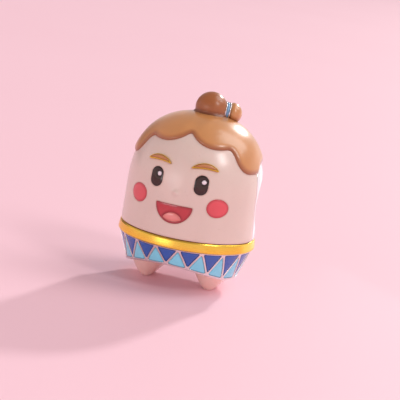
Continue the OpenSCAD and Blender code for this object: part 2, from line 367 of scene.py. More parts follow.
def inside(places, loops):
    """Which places lie inside an odd number of the loops."""
    start = np.vstack(loops)
    end = np.vstack([np.roll(loop, -1, 0) for loop in loops])
    rise = np.where(end[:, 1] == start[:, 1], 1e-12, end[:, 1] - start[:, 1])
    found = []
    for some in np.array_split(places, len(places) // 2000 + 1):
        u, v = some[:, :1], some[:, 1:]
        spans = (start[:, 1] > v) != (end[:, 1] > v)
        left = u < start[:, 0] + (v - start[:, 1]) / rise * (end[:, 0] - start[:, 0])
        found.append(np.sum(spans & left, axis=1) % 2 == 1)
    return np.concatenate(found)


def nearest(points, targets):
    """Distance of each point to the nearest target."""
    finder = kdtree.KDTree(len(targets))
    for i, target in enumerate(targets):
        finder.insert(target, i)
    finder.balance()
    return np.array([finder.find(point)[2] for point in points])


def fill(loops, spacing, extra=None, extra_gap=0.0):
    """Places that fill the space between loops, those of the loops first, and the triangles between them."""
    edge = np.vstack(loops)
    rows = []
    # Rows of an even triangular grid round the crown, 0.87 of the spacing apart
    for k, way in enumerate(np.arange(spacing / 2, np.hypot(edge[:, 0], edge[:, 1]).max(), spacing * 0.87)):
        count = max(6, round(2 * math.pi * body_r * np.interp(way, dome_way, dome_out) / spacing))
        turn = 2 * math.pi * (np.arange(count) + 0.5 * (k % 2)) / count
        rows.append(np.column_stack([way * np.sin(turn), -way * np.cos(turn)]))
    grid = np.vstack(rows)
    grid = grid[inside(grid, loops)]
    grid = grid[nearest(on_body(grid), on_body(edge)) > 0.7 * spacing] if len(grid) else grid
    if extra is not None:
        grid = np.vstack([grid[nearest(on_body(grid), on_body(extra)) > extra_gap], extra])
    places = np.vstack([edge, grid])
    sides = []
    start = 0
    for loop in loops:
        sides += [(start + i, start + (i + 1) % len(loop)) for i in range(len(loop))]
        start += len(loop)
    made = geometry.delaunay_2d_cdt([Vector(p) for p in places / mm], sides, [], 0, 1e-6)
    origin = [old[0] for old in made[3]]
    faces = np.array([[origin[i] for i in face] for face in made[2]])
    faces = faces[inside(places[faces].mean(axis=1), loops)]
    merged_into = np.arange(len(places))
    for merged in made[3]:
        merged_into[merged] = merged[0]
    a, b = merged_into[np.array(sides)].T
    loop_sides = a * len(places) + b
    # Slivers on the outer side of a loop walk one of its sides backward, or hang on others that do
    while True:
        ahead = np.roll(faces, -1, axis=1)
        walked, back = faces * len(places) + ahead, ahead * len(places) + faces
        sound = (np.isin(walked, loop_sides) | np.isin(back, walked)) & ~np.isin(back, loop_sides)
        if sound.all():
            return places, faces
        faces = faces[sound.all(axis=1)]


def strips(rings, closed=True):
    """Quads between rings of equal length, each ring an array of point numbers."""
    faces = []
    for low, high in zip(rings, rings[1:]):
        count = len(low)
        for i in range(count if closed else count - 1):
            j = (i + 1) % count
            faces.append((low[i], low[j], high[j], high[i]))
    return faces


def fan(ring, hub):
    """Triangles from each side of a ring to one point."""
    return [(ring[k], ring[(k + 1) % len(ring)], hub) for k in range(len(ring))]


weld = 0.0002 * mm
sharp_from = math.radians(50)


def make_piece(name, points, faces, material, nodes, edge=None):
    """A closed mesh piece that rides on the root body and stands for the listed nodes, if any. Its attribute
    edge holds distances from its edge in millimetres."""
    mesh = bpy.data.meshes.new(name)
    mesh.from_pydata([tuple(p) for p in points], [], [tuple(int(i) for i in face) for face in faces])
    if edge is not None:
        mesh.attributes.new("edge", "FLOAT", "POINT").data.foreach_set(
            "value", np.asarray(edge, np.float32) / mm)
    solid = bmesh.new()
    solid.from_mesh(mesh)
    bmesh.ops.remove_doubles(solid, verts=solid.verts, dist=weld)
    bmesh.ops.recalc_face_normals(solid, faces=solid.faces)
    solid.to_mesh(mesh)
    solid.free()
    mesh.shade_smooth()
    mesh.set_sharp_from_angle(angle=sharp_from)
    mesh.materials.append(material)
    piece = bpy.data.objects.new(name, mesh)
    bpy.context.scene.collection.objects.link(piece)
    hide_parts(*nodes)
    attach(piece, "root")


def rounded(radius, steps=4):
    """Distances from the edge of the rings of a rounded edge."""
    return [radius * (1 - math.cos(math.pi / 2 * i / steps)) for i in range(steps + 1)]


def dip(far, radius):
    """How far a rounded edge lies below the face, at a distance from the edge."""
    return radius - np.sqrt(radius ** 2 - np.maximum(radius - far, 0) ** 2)


def field_line(grow=0.0, closed=False):
    """The edge of a bare side, from the belt up its front and down its back."""
    corner_z = field_top_z - field_corner
    front_y, back_y = field_front_y + field_corner, field_back_y - field_corner
    r = field_corner + grow
    lean = (field_low_y - field_front_y) / (bore_z - belt_top)
    lean_grow = grow * math.sqrt(1 + lean ** 2)
    front_low = (field_front_y + lean * (bore_z - field_low_z) - lean_grow, field_low_z)
    bend = (field_front_y - grow, bore_z - (lean_grow - grow) / lean)
    line = np.vstack([[front_low, bend], arc(front_y, corner_z, r, 180, 90),
                      arc(back_y, corner_z, r, 90, 0), [(field_back_y + grow, field_low_z)]])
    return from_right(dense(np.vstack([line, line[:1]]) if closed else line))


def skirt_at(z):
    return hem_r + (z - hem_z) * (skirt_r - hem_r) / (belt_low - hem_z)


def hem_at(x):
    """Height of the hem's lower face at a sideways place."""
    return np.maximum(hem_z, hem_z + hem_arch - arch_r + np.sqrt(arch_r ** 2 - x ** 2))


def hem_edge(turn):
    """Height of the hem's outer edge at an angle from the front, found by drawing nearer to it."""
    z = np.full(np.shape(turn), hem_z)
    for _ in range(8):
        z = hem_at(skirt_at(z) * np.sin(turn))
    return z


def cell_low(turn):
    """Height of the middle of the wall below the cells, straight from one dark cell's tip to the next."""
    corners = 2 * math.pi * np.arange(-1, cell_pairs + 2) / cell_pairs
    return np.interp(turn, corners, hem_edge(corners)) + hem_rim - cell_wall / 2


def round_points(r, turn, z):
    """Points at a radius and a height, at an angle from the front toward the right."""
    return np.column_stack([r * np.sin(turn), -r * np.cos(turn), np.broadcast_to(z, np.shape(turn))])


def skirt_points(turn, z, lift=0.0):
    """Points on the skirt, moved outward by lift."""
    return round_points(skirt_at(z) + lift, turn, z)


def cell_outline(dark, turn, side_steps=24):
    """One cell of the zigzag between the middles of its walls: its angles and heights, its middle, and the
    radius of the circle that fits in it."""
    half = math.pi / cell_pairs
    lows = cell_low(turn + np.array([-half, 0, half]))
    base_left, base_right, tip_z = (belt_low, belt_low, lows[1]) if dark else (lows[0], lows[2], belt_low)
    corners = np.array([(-half, base_left), (half, base_right), (0, tip_z), (-half, base_left)]) + (turn, 0)
    share = np.linspace(0, 1, side_steps, endpoint=False)[:, None]
    line = np.vstack([a + (b - a) * share for a, b in zip(corners, corners[1:])])
    flat = corners[:3] * (skirt_at(corners[:3, 1].mean()), 1)
    sides = np.array([np.linalg.norm(flat[(k + 1) % 3] - flat[(k + 2) % 3]) for k in range(3)])
    middle = (corners[:3] * sides[:, None]).sum(axis=0) / sides.sum()
    (a, b), (c, d) = flat[1] - flat[0], flat[2] - flat[0]
    return line, middle, abs(a * d - b * c) / sides.sum()


def cell_ring(dark, turn, by, softness=6):
    """The cell's outline moved inward by a distance, with soft corners."""
    line, middle, inner_r = cell_outline(dark, turn)
    return softened(middle + (line - middle) * (1 - by / inner_r), softness)


core_points, core_faces, core_edge = [], [], []


def add_part(points, faces=(), edge=0.3 * mm):
    """Add a stretch to the casting, and return the numbers of its points."""
    start = sum(len(p) for p in core_points)
    core_points.append(np.asarray(points))
    core_edge.append(np.full(len(points), edge) if np.isscalar(edge) else edge)
    core_faces.extend(tuple(int(i) + start for i in face) for face in faces)
    return start + np.arange(len(points))


# A bare side is a face with a soft edge, which goes down under the enamel, and a lip round the hole's mouth
fields, throats = [], []
for sign in (1, -1):
    field = even(field_line(closed=True) * (sign, 1), 0.1 * mm, 2)
    fields.append(field)
    rings = [inset(field, by) for by in rounded(field_edge_r)]
    mouth = from_right(arc(bore_y, bore_z, bore_r + lip_r, 0, 360 * sign, bore_steps + 1)[:-1]) * (sign, 1)
    mouth = mouth[::-1] if turns_left(mouth) else mouth
    places, faces = fill([rings[-1], mouth], side_spacing)
    far = nearest(on_body(places), on_body(np.vstack([field, mouth])))
    top = add_part(on_body(places), faces, far)
    levels = [top[:len(field)]]
    for by, ring in list(zip(rounded(field_edge_r), rings))[-2::-1]:
        levels.append(add_part(on_body(ring, -dip(by, field_edge_r))))
    levels.append(add_part(on_body(field, -core_drop)))
    core_faces += strips(levels[::-1])
    levels = [top[len(field):len(field) + bore_steps]]
    x, y, z = on_body(mouth).T
    mouth_turns = np.arctan2(z - bore_z, y - bore_y)
    for k in range(1, lip_steps + 1):
        t = math.pi / 2 / lip_steps * k
        out = bore_r + lip_r * (1 - math.sin(t))
        levels.append(add_part(np.column_stack([
            x - sign * lip_r * (1 - math.cos(t)),
            bore_y + out * np.cos(mouth_turns), bore_z + out * np.sin(mouth_turns)])))
    core_faces += strips(levels[::-1])
    throats.append(levels[-1][np.argsort(mouth_turns)])

# The hole's wall joins the two throats, point by point at the same angle
right, left = throats
made_points = np.vstack(core_points)
wall_rings = [right]
for share in np.linspace(0, 1, wall_steps + 1)[1:-1]:
    wall_rings.append(add_part(made_points[right] * (1 - share) + made_points[left] * share, edge=1 * mm))
wall_rings.append(left)
core_faces += strips(wall_rings[::-1])

# Under the enamel, and down to the groove that the belt lies in
turns = 2 * math.pi * np.arange(round_steps) / round_steps - math.pi / cell_pairs
belt_way = dome_way[-1] + shoulder_z - belt_top
belt_ring = np.column_stack([belt_way * np.sin(turns), -belt_way * np.cos(turns)])
places, faces = fill([belt_ring, *[field[::-1] for field in fields]], hidden_spacing)
under = add_part(on_body(places, -core_drop), faces)
groove_rings = [under[:round_steps]]
for r, z in ((groove_r, belt_top), (groove_r, belt_low), (skirt_r, belt_low)):
    groove_rings.append(add_part(round_points(r, turns, z)))
core_faces += strips(groove_rings[::-1])

# The zigzag of walls, and the pocket in each cell
cells = [(i, dark, 2 * math.pi * (i + (0 if dark else 0.5)) / cell_pairs)
         for i in range(cell_pairs) for dark in (True, False)]
for _, dark, turn in cells:
    line, middle, _ = cell_outline(dark, turn)
    pocket = cell_ring(dark, turn, cell_wall / 2)
    rows = [(line, 0.0), (cell_ring(dark, turn, 0.4 * cell_wall, 2), -0.1 * cell_edge),
            (pocket, -cell_edge), (pocket, -cell_t), (middle + (pocket - middle) * 0.5, -cell_t)]
    rings = [add_part(skirt_points(*row.T, lift), edge=0.3 * mm if k < 2 else 0.0)
             for k, (row, lift) in enumerate(rows)]
    core_faces += strips(rings)
    hub = add_part(skirt_points(middle[:1], middle[1:], -cell_t), edge=0.0)
    core_faces += fan(rings[-1], hub[0])

# The hem's rim, rounded over its edge, and the arched underside
edge_z = hem_edge(turns)
edge_r = skirt_at(edge_z)
rim_rings = [add_part(skirt_points(turns, cell_low(turns))),
             add_part(skirt_points(turns, edge_z + hem_edge_r))]
for a in np.radians([22.5, 45, 67.5, 90]):
    rim_rings.append(add_part(round_points(edge_r - hem_edge_r * (1 - math.cos(a)), turns,
                                           edge_z + hem_edge_r * (1 - math.sin(a)))))
for share in (0.95, 0.85, 0.7, 0.5, 0.3, 0.12):
    out = edge_r * share
    rim_rings.append(add_part(round_points(out, turns, hem_at(out * np.sin(turns)))))
core_faces += strips(rim_rings[::-1])
hub = add_part([(0, 0, hem_at(0.0))])
core_faces += fan(rim_rings[-1], hub[0])

# Tumbled, then polished with rouge, so it mirrors the room, with hairline scratches. A warm grey is painted
# along the bare sides' edges and round the hole's mouth, partly as tarnish and partly as painted shade
sterling, tree, surface = new_material("polished_sterling_silver")
place = add_node(tree, "TexCoord").outputs["Object"]
clouds = add_node(tree, "TexNoise", {"Vector": place, "Scale": 1 / (1.3 * mm), "Detail": 3})
bright = add_node(tree, "MixRGB", {"Fac": clouds, "Color1": linear("#F1EFEE"), "Color2": linear("#DEDCDD")})
from_edge = add_node(tree, "Attribute", attribute_name="edge").outputs["Fac"]
# Painted shade and tarnish: the silver turns a warm grey within 0.12 mm of its edges
clear_of_edge_shade = add_node(tree, "MapRange", {"Value": from_edge, "From Max": 0.12})
tarnish_and_edge_shade = add_node(tree, "MixRGB", {"Fac": clear_of_edge_shade, "Color1": linear("#A3948D"), "Color2": bright})
gloss = add_node(tree, "MapRange", {"Value": clouds, "To Min": 0.1, "To Max": 0.24})
along = add_node(tree, "Mapping", {"Vector": place, "Rotation": (0.3, 0.5, 0.2),
                                   "Scale": (2 / mm, 2 / mm, 40 / mm)})
scratches = add_node(tree, "TexNoise", {"Vector": along, "Scale": 1.0, "Detail": 4})
relief = add_node(tree, "Bump", {"Height": scratches, "Strength": 0.25, "Distance": 0.002 * mm})
shader = add_node(tree, "BsdfPrincipled", {
    "Base Color": tarnish_and_edge_shade, "Metallic": 1.0, "Roughness": gloss, "Normal": relief})
tree.links.new(shader.outputs["BSDF"], surface)
make_piece("casting", np.vstack(core_points), core_faces, sterling, ["silver_core"],
           np.concatenate(core_edge))


# Skirt cells
# Opaque glass enamel, dark blue and pale blue in turn, fired in the triangular cells of the casting and
# stoned back to the level of the silver walls.
seam = 0.005 * mm


def enamel(name, body, edge_shade_colour, shade_reach=0.25, roughness=0.13, glow=0.08, clouding=0.05, wave=0.006, coat=0.5):
    """Opaque glass enamel, fired and polished: a clear gloss over an even colour, darkened toward its edge
    by painted shade along its seams and rounded edges, with faint clouds and long low waves."""
    material, tree, surface = new_material(name)
    place = add_node(tree, "TexCoord").outputs["Object"]
    far = add_node(tree, "Attribute", attribute_name="edge").outputs["Fac"]
    # Painted shade: the enamel turns to its second, darker colour near its edge
    unshaded_part = add_node(tree, "MapRange", {"Value": far, "From Max": shade_reach}, interpolation_type="SMOOTHSTEP")
    edge_shaded_tint = add_node(tree, "MixRGB", {"Fac": unshaded_part, "Color1": linear(edge_shade_colour), "Color2": linear(body)})
    clouds = add_node(tree, "TexNoise", {"Vector": place, "Scale": 1 / (1.6 * mm), "Detail": 4})
    shade = add_node(tree, "MapRange", {"Value": clouds, "From Min": 0.3, "From Max": 0.7,
                                        "To Min": 1 - clouding, "To Max": 1 + clouding})
    colour = add_node(tree, "MixRGB", {"Fac": 1.0, "Color1": edge_shaded_tint, "Color2": shade}, blend_type="MULTIPLY")
    waves = add_node(tree, "TexNoise", {"Vector": place, "Scale": 1 / (0.9 * mm), "Detail": 1})
    grit = add_node(tree, "TexNoise", {"Vector": place, "Scale": 1 / (0.12 * mm), "Detail": 2})
    peel = add_node(tree, "Bump", {"Height": grit, "Strength": 0.3, "Distance": 0.001 * mm})
    relief = add_node(tree, "Bump", {"Height": waves, "Strength": 1.0, "Distance": wave * mm,
                                     "Normal": peel})
    gloss = add_node(tree, "MapRange", {"Value": grit, "To Min": roughness - 0.03,
                                        "To Max": roughness + 0.05})
    shader = add_node(tree, "BsdfPrincipled", {
        "Base Color": colour, "Roughness": gloss, "IOR": 1.58,
        "Subsurface Weight": glow, "Subsurface Radius": (1.0, 0.6, 0.5), "Subsurface Scale": 0.25 * mm,
        "Coat Weight": coat, "Coat Roughness": 0.2, "Normal": relief})
    tree.links.new(shader.outputs["BSDF"], surface)
    return material


# The second colour of each enamel is painted shade along its edge
dark_blue = enamel("dark_blue_enamel", "#1B5AB4", "#1A4A9A", shade_reach=0.12)
pale_blue = enamel("pale_blue_enamel", "#82DEF8", "#76CBE8", shade_reach=0.12)


def ring_numbers(count, levels):
    """Point numbers of rings of equal length that follow one another."""
    return [np.arange(count) + level * count for level in range(levels)]


def cell(dark, turn):
    """The enamel of one cell: a flush soft-edged face, walls and a base, and distances from its edge."""
    line, middle, inner_r = cell_outline(dark, turn)
    clear = cell_wall / 2 + seam
    ring = cell_ring(dark, turn, clear)
    reach = inner_r - clear
    rows = [(1.0, -cell_t + seam), (1.0, -cell_edge - 0.03 * mm), (0.975, -cell_edge - 0.01 * mm),
            (0.94, -cell_edge), (0.8, -cell_edge + 0.006 * mm), (0.6, -cell_edge + 0.012 * mm),
            (0.4, -cell_edge + 0.015 * mm), (0.2, -cell_edge + 0.016 * mm)]
    points, edge = [], []
    for share, lift in rows:
        row = middle + (ring - middle) * share
        points.append(skirt_points(*row.T, lift))
        edge.append(np.full(len(row), (1 - share) * reach))
    numbers = ring_numbers(len(ring), len(rows))
    faces = strips(numbers)
    for lift, rim_numbers in ((rows[-1][1], numbers[-1]), (rows[0][1], numbers[0])):
        hub = sum(len(p) for p in points)
        points.append(skirt_points(middle[:1], middle[1:], lift))
        edge.append(np.array([reach]))
        faces += fan(rim_numbers, hub)
    return np.vstack(points), faces, np.concatenate(edge)


for i, dark, turn in cells:
    tone, material = ("dark", dark_blue) if dark else ("pale", pale_blue)
    points, faces, edge = cell(dark, turn)
    make_piece(f"skirt_{tone}_{i}", points, faces, material, [f"cell_{tone}_{i}"],
               edge)


# Hair
# A thick layer of chestnut enamel over the crown, with two lobes on the forehead and a lock at each temple.
# It is laid in its own seat and left standing proud of the skin, with a soft shoulder all round.
lobe_x = 2.15 * mm
lobe_z = 14.3 * mm
lobe_r = 2.9 * mm
lock_front = 2.95 * mm
lock_r = 0.9 * mm
lock_z = 10.7 * mm
lock_top_z = 12.6 * mm
nape_z = 12.2 * mm
nape_r = 3.75 * mm
nape_top_z = field_top_z - seat_gap
nape_top_y = np.array([1, 4.85]) * mm
hair_proud = 0.18 * mm
hair_softness = 14
shoulder_w = 0.42 * mm
parting_w = 0.5 * mm
parting_l = 3 * mm
parting_dip = 0.35


def from_front(line, toward=-1):
    """Places of a line drawn in x and z and pressed on the body from the front, or from behind."""
    x, z = line.T
    return to_map(x, toward * np.sqrt(np.maximum(body_radius(z) ** 2 - x ** 2, 0)), z)


def first_crossing(line, other):
    """Numbers of the first step of line that crosses other, of the step it crosses, and the crossing."""
    share, other_share = crossings(line[:-1], np.diff(line, axis=0), other[:-1], np.diff(other, axis=0))
    i, j = np.argwhere((share >= 0) & (share <= 1) & (other_share >= 0) & (other_share <= 1))[0]
    return i, j, line[i] + share[i, j] * (line[i + 1] - line[i])


def joined(*lines):
    """One line from several, each left where it first crosses the next."""
    whole = lines[0]
    for line in lines[1:]:
        i, j, crossing = first_crossing(whole, line)
        whole = np.vstack([whole[:i + 1], crossing, line[j + 1:]])
    return whole


def both_sides(half):
    """A closed line from its right half, which starts and ends in the middle."""
    return np.vstack([half, (half * (-1, 1))[-2:0:-1]])


def panel(loops, spacing, depth, rim, shape, extra=None, extra_gap=0.0):
    """A slab on the body inside the loops: its points, its faces and each point's distance from the edge.
    Rim lists the edge's rings by that distance, and shape gives the height of a place from it."""
    loops = [loops[0], *[hole[::-1] for hole in loops[1:]]]
    sizes = [len(loop) for loop in loops]
    starts = np.cumsum([0, *sizes[:-1]])
    total = sum(sizes)
    rings = [np.vstack([inset(loop, by) for loop in loops]) for by in rim]
    inner = np.split(rings[-1], starts[1:])
    top, top_faces = fill(inner, spacing, extra, extra_gap)
    under, under_faces = fill(loops, 6 * spacing)
    outline = on_body(np.vstack(loops))
    points = [on_body(np.vstack(loops), -depth)]
    edge = [np.zeros(total)]
    for by, ring in zip(rim, rings):
        points.append(on_body(ring, shape(np.full(total, by), ring)))
        edge.append(np.full(total, by))
    far = nearest(on_body(top[total:]), outline) if len(top) > total else np.zeros(0)
    points.append(on_body(top[total:], shape(far, top[total:])))
    edge.append(far)
    points.append(on_body(under[total:], -depth))
    edge.append(np.zeros(len(under) - total))
    faces = []
    for start, size in zip(starts, sizes):
        numbers = np.arange(start, start + size)
        faces += strips([numbers + level * total for level in range(len(rim) + 1)])
    top_shift = len(rim) * total
    faces += [tuple(face + top_shift) for face in top_faces]
    under_shift = top_shift + len(top)
    for face in under_faces[:, ::-1]:
        faces.append(tuple(int(i) if i < total else int(i) - total + under_shift for i in face))
    return np.vstack(points), faces, np.concatenate(edge)


lobe_start = -180 + math.degrees(math.acos(lobe_x / lobe_r))
lobe_line = from_front(arc(lobe_x, lobe_z, lobe_r, lobe_start, -50, 200))
lock_line = from_right(dense(np.vstack([
    [(-lock_front, lock_top_z)], arc(lock_r - lock_front, lock_z, lock_r, 180, 270),
    [(0, lock_z - lock_r)]])))
nape_side = from_right(dense(np.array([(y, nape_top_z) for y in nape_top_y])))
nape_line = from_front(arc(0, nape_z, nape_r, -15, -90, 120), 1)
hair_half = joined(lobe_line, lock_line, field_line(seam), nape_side, nape_line)
hair_loop = even(both_sides(hair_half), 0.08 * mm, hair_softness)


def hair_height(far, places):
    """The hair rises from the skin over a round shoulder, with a shallow dip along the parting."""
    share = np.clip(far / shoulder_w, 0, 1)
    parting = np.exp(-(places[:, 0] / parting_w) ** 2) * np.clip(-places[:, 1] / parting_l, 0, 1)
    return hair_proud * (np.sqrt(1 - (1 - share) ** 2) - parting_dip * parting * share)


# Thick enamel with a soft sheen and low waves, darkened by painted shade over its round shoulder
brown = enamel("chestnut_enamel", "#CE9056", "#A06238", shade_reach=0.42, roughness=0.3, wave=0.012)
points, faces, edge = panel([hair_loop], 0.11 * mm, enamel_t, rounded(shoulder_w, 10)[:6], hair_height)
make_piece("hair", points, faces, brown, ["hair_cap"], edge)


# Topknot
# A round knot of deeper chestnut enamel seated on the hair, a steel-blue tie between two fine silver wires
# round its neck, and a short full tail in the hair's own enamel.
knot_r = 1.25 * mm
knot_at = Vector((0.15 * mm, 0.4 * mm, 13.95 * mm))
knot_turn = math.radians(25)
knot_droop = math.radians(7)
knot_low_turn = -11
neck_r = 0.6 * mm
tie_r = 0.78 * mm
tie_w = 0.42 * mm
tie_wire = 0.1 * mm
tie_edge = 0.04 * mm
tie_at = math.sqrt(knot_r ** 2 - tie_r ** 2)
tail_r = 0.84 * mm
tail_l = 1.05 * mm
tail_at = tie_at + tie_w + seat_gap
knot_axis = Vector((math.cos(knot_droop) * math.cos(knot_turn), math.cos(knot_droop) * math.sin(knot_turn),
                    -math.sin(knot_droop)))


def hair_top(x, y):
    """Height of the hair's face at a place near the crown."""
    r = np.hypot(x, y)
    share = np.clip(r / (body_r + hair_proud), 0, 1)
    return shoulder_z + (crown_z + hair_proud - shoulder_z) * (1 - share ** dome_power) ** (1 / dome_power)


def turned(outline, centre, axis, count=96):
    """Points and faces of a solid turned from an outline of radii and heights along its axis."""
    side = axis.orthogonal().normalized()
    other = axis.cross(side)
    angle = 2 * math.pi * np.arange(count) / count
    around = np.cos(angle)[:, None] * np.array(side) + np.sin(angle)[:, None] * np.array(other)
    points = [np.array(centre) + r * around + h * np.array(axis) for r, h in outline]
    rings = ring_numbers(count, len(outline))
    faces = strips(rings)
    for k, (h, ring) in enumerate([(outline[0][1], rings[0]), (outline[-1][1], rings[-1])]):
        points.append((np.array(centre) + h * np.array(axis))[None])
        faces += fan(ring, len(outline) * count + k)
    return np.vstack(points), faces


def seated(points):
    """The points, none of them lower than the hair's face, and how far each stands above it."""
    face_z = hair_top(points[:, 0], points[:, 1]) + seam
    z = np.maximum(points[:, 2], face_z)
    return np.column_stack([points[:, :2], z]), z - face_z


# The knot spreads a little at its foot
knot_outline = [(1.36 * mm, -0.46 * mm), (1.30 * mm, -0.36 * mm), (1.245 * mm, -0.29 * mm),
                *arc(0, 0, knot_r, knot_low_turn, 89, 40)]
points, faces = turned(knot_outline, knot_at, Vector((0, 0, 1)))
# Its height above the hair sets the painted shade that darkens the knot toward its foot
points, edge = seated(points)
deep_brown = enamel("deep_chestnut_enamel", "#A2602F", "#784020", shade_reach=0.42, roughness=0.34, wave=0.012,
                    coat=0.15)
make_piece("topknot", points, faces, deep_brown, ["knot"], edge)
steel_blue = enamel("steel_blue_enamel", "#6F9FC6", "#4F7FAE", shade_reach=0.12)
for name, start, width, r, material, slot, nodes in (
        ("topknot_tie", tie_at + tie_wire + seam, tie_w - 2 * (tie_wire + seam), tie_r - 0.02 * mm,
         steel_blue, "pale_blue_enamel", ["knot_tie"]),
        ("tie_wire_near", tie_at, tie_wire, tie_r + 0.02 * mm, sterling, "silver", []),
        ("tie_wire_far", tie_at + tie_w - tie_wire, tie_wire, tie_r + 0.02 * mm, sterling, "silver", [])):
    half = [(neck_r, 0), (r - tie_edge, 0), (r - 0.3 * tie_edge, 0.3 * tie_edge), (r, tie_edge)]
    outline = [(out, start + h) for out, h in half] + [(out, start + width - h) for out, h in half[::-1]]
    points, faces = turned(outline, knot_at, knot_axis)
    make_piece(name, seated(points)[0], faces, material, nodes, np.full(len(points), 0.2 * mm))
tail_outline = [(0.55 * mm, tail_at), (0.7 * mm, tail_at + 0.03 * mm), (0.8 * mm, tail_at + 0.12 * mm),
                *arc(0, tail_at + tail_l - tail_r, tail_r, 0, 88, 28)]
points, faces = turned(tail_outline, knot_at, knot_axis)
# Its height above the hair sets the painted shade that darkens the tail's lowest parts
points, edge = seated(points)
make_piece("topknot_tail", points, faces, brown, ["knot_tail"], edge)


# Eyes and glints
# Inlays of near-black brown enamel, each with a drop of white fired into it. They lie in seats of their own
# in the skin's enamel, and are polished almost level with it.
inlay_t = 0.2 * mm
eye_z = 8.75 * mm
eye_x = 1.75 * mm
eye_r = 0.5 * mm
eye_rise = 0.5 * mm
glint_r = 0.17 * mm
soft_edge = 0.02 * mm
hands = {"left": -1, "right": 1}


def inlay(bulge, reach=0.3 * mm):
    """The height of an inlay's face: a soft edge and a low crown toward its middle."""
    def height(far, places):
        share = np.clip(far / reach, 0, 1)
        return bulge * (1 - (1 - share) ** 2) - dip(far, soft_edge)
    return height


def add_inlay(name, loops, spacing, material, node, bulge, reach=0.3 * mm, depth=inlay_t):
    """A flush inlay of enamel inside the loops."""
    points, faces, edge = panel(loops, spacing, depth, rounded(soft_edge), inlay(bulge, reach))
    make_piece(name, points, faces, material, [node], edge)


# The eyes have the brightest polish, which gives them small sharp highlights
near_black = enamel("black_brown_enamel", "#341A12", "#24100B", roughness=0.06, coat=0.0)
white = enamel("white_enamel", "#F6F1F2", "#E4DCE2", roughness=0.1)
features = []
for side, sign in hands.items():
    capsule = np.vstack([arc(sign * eye_x, eye_z + eye_rise / 2, eye_r, 0, 180),
                         arc(sign * eye_x, eye_z - eye_rise / 2, eye_r, 180, 360)])
    drop = arc(sign * eye_x + glint_r, eye_z + eye_rise / 2, glint_r, 0, 360)[:-1]
    eye_loop = even(from_front(capsule), 0.05 * mm, 1)
    glint_loop = even(from_front(drop), 0.03 * mm)
    add_inlay(f"eye_enamel_{side}", [inset(eye_loop, seam / 2), inset(glint_loop, -seam / 2)], 0.07 * mm,
              near_black, f"eye_{side}", 0.03 * mm)
    add_inlay(f"eye_glint_{side}", [inset(glint_loop, seam / 2)], 0.04 * mm, white,
              f"glint_{side}", 0.035 * mm, 0.12 * mm, inlay_t / 2)
    features.append(eye_loop)


# Brows
# Crescents of the hair's enamel that stand proud of the skin. Each is fired inside a thin gilt wire, which
# is bent to its outline and keeps it in shape.
brow_z = 9.1 * mm
brow_r = 1.25 * mm
brow_w = 0.38 * mm
brow_half = 1 * mm
brow_proud = 0.2 * mm
brow_softness = 12
wire_w = 0.05 * mm
brow_low = brow_r - brow_w
brow_sag = brow_low - math.sqrt(brow_r ** 2 - brow_half ** 2)
brow_low_r = (brow_half ** 2 + brow_sag ** 2) / (2 * brow_sag)
brow_top_turn = math.degrees(math.acos(brow_half / brow_r))
brow_low_turn = math.degrees(math.acos(brow_half / brow_low_r))

# Thick gold plate, brushed along the belt: a warm yellow with fine level lines and soft long highlights
gilt, tree, surface = new_material("gold_plated_silver")
place = add_node(tree, "TexCoord").outputs["Object"]
clouds = add_node(tree, "TexNoise", {"Vector": place, "Scale": 1 / (1.1 * mm), "Detail": 3})
yellow = add_node(tree, "MixRGB", {"Fac": clouds, "Color1": linear("#F6C844"), "Color2": linear("#FEDA64")})
brushed = add_node(tree, "Mapping", {"Vector": place, "Scale": (0.7 / mm, 0.7 / mm, 26 / mm)})
lines = add_node(tree, "TexNoise", {"Vector": brushed, "Scale": 1.0, "Detail": 5})
gloss = add_node(tree, "MapRange", {"Value": lines, "To Min": 0.16, "To Max": 0.36})
relief = add_node(tree, "Bump", {"Height": lines, "Strength": 0.5, "Distance": 0.004 * mm})
shader = add_node(tree, "BsdfPrincipled", {
    "Base Color": yellow, "Metallic": 1.0, "Roughness": gloss, "Normal": relief})
tree.links.new(shader.outputs["BSDF"], surface)


def brow_height(far, places):
    return brow_proud - 0.06 * mm + inlay(0.11 * mm, 0.15 * mm)(far, places)


# The wire's outline, in shares of its width and of the brow's height
wire_section = [(0.0, -0.1), (0.0, 0.7), (0.2, 0.8), (0.8, 0.8), (1.0, 0.7), (1.0, -0.1)]
for side, sign in hands.items():
    x = sign * eye_x
    crescent = np.vstack([
        arc(x, brow_z, brow_r, brow_top_turn, 180 - brow_top_turn),
        arc(x, brow_z + brow_low - brow_low_r, brow_low_r, 180 - brow_low_turn, brow_low_turn)])
    brow_loop = even(from_front(crescent), 0.04 * mm, brow_softness)
    points = np.vstack([on_body(inset(brow_loop, seam / 2 + wire_w * across), brow_proud * up)
                        for across, up in wire_section])
    rings = ring_numbers(len(brow_loop), len(wire_section))
    make_piece(f"brow_wire_{side}", points, strips([*rings, rings[0]]), gilt, [])
    points, faces, edge = panel([inset(brow_loop, wire_w + seam)], 0.06 * mm, inlay_t, rounded(soft_edge, 2),
                                brow_height)
    make_piece(f"brow_enamel_{side}", points, faces, brown, [f"brow_{side}"],
               edge + 0.15 * mm)
    features.append(brow_loop)


# Cheeks
# Round inlays of coral enamel, one beyond each corner of the mouth. They lie in seats of their own in the
# skin's enamel, and are polished almost level with it.
cheek_z = 7.15 * mm
cheek_x = 3.1 * mm
cheek_r = 0.72 * mm
coral = enamel("coral_enamel", "#DE4E57", "#C23A45", roughness=0.12)
for side, sign in hands.items():
    cheek_loop = even(from_front(arc(sign * cheek_x, cheek_z, cheek_r, 0, 360)[:-1]), 0.06 * mm)
    add_inlay(f"cheek_enamel_{side}", [inset(cheek_loop, seam / 2)], 0.1 * mm, coral,
              f"cheek_{side}", 0.025 * mm)
    features.append(cheek_loop)


